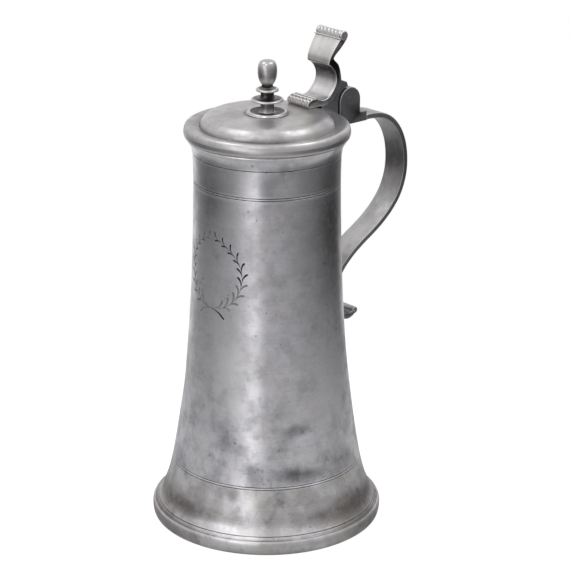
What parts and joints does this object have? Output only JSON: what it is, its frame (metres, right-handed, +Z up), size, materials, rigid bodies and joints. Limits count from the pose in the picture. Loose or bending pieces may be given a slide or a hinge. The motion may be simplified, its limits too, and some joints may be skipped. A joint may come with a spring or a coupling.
{
  "type": "pewter flagon",
  "caption": "Tall waisted pewter flagon with a spreading foot, a strap handle, and a domed hinged lid with a turned finial and a scrolled thumbpiece.",
  "frame": {"origin": "centre of the foot, on the surface that the flagon stands on", "axes": "+Z up along the drum's axis; +X from the drum towards the handle; the hinge pin runs along Y"},
  "size_m": [0.1892, 0.1482, 0.3129],
  "materials": {
    "drum_pewter": "satin pewter, fine lathe marks and small dark pits",
    "foot_pewter": "satin pewter, a little warmer and more worn on the band",
    "handle_pewter": "satin pewter, darker from handling",
    "hinge_pewter": "dull cast pewter",
    "lid_pewter": "satin pewter with slightly warm mottling",
    "finial_pewter": "turned pewter, brighter on its edges",
    "thumbpiece_pewter": "cast pewter, bright on the roll and the near edges"
  },
  "bodies": {
    "vessel": {"body_drum": "drum_pewter", "foot_skirt": "foot_pewter", "foot_rim": "foot_pewter", "floor_disc": "foot_pewter", "mouth_collar": "drum_pewter", "hinge_block": "hinge_pewter", "hinge_pin": "hinge_pewter", "handle_strap": "handle_pewter", "handle_tail": "handle_pewter", "handle_pad": "handle_pewter"},
    "lid": {"lid_cover": "lid_pewter", "lid_bezel": "lid_pewter", "finial_saucer": "finial_pewter", "finial": "finial_pewter", "finial_washer": "finial_pewter", "lid_bracket": "hinge_pewter", "thumbpiece": "thumbpiece_pewter"}
  },
  "joints": [
    {"name": "lid_hinge", "type": "hinge", "parent": "vessel", "child": "lid", "pos_m": [0.0623, 0, 0.266], "axis": [0, 1, 0], "range_deg": [0, 115]}
  ]
}
